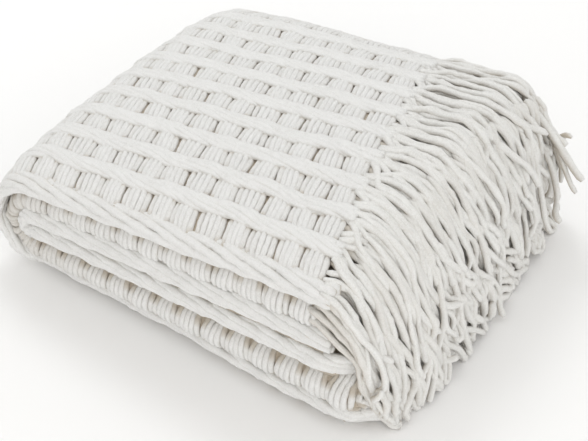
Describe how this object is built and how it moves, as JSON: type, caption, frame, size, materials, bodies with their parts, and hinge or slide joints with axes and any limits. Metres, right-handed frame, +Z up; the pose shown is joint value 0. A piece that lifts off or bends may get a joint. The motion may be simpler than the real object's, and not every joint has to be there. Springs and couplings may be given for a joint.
{
  "type": "folded throw blanket",
  "caption": "Chunky woven throw with fringed ends, folded into a soft wedge-shaped stack with its fringe hanging at one side.",
  "frame": {"origin": "middle of the footprint, on the surface the stack rests on", "axes": "+X from the folded side to the fringed side, +Y from front to back, +Z up"},
  "size_m": [0.4152, 0.333, 0.1805],
  "materials": {
    "weave": "soft matte chenille",
    "fringe": "soft matte chenille"
  },
  "bodies": {
    "root": {"cloth": "weave", "fringe_upper": "fringe", "fringe_lower": "fringe"}
  },
  "joints": []
}
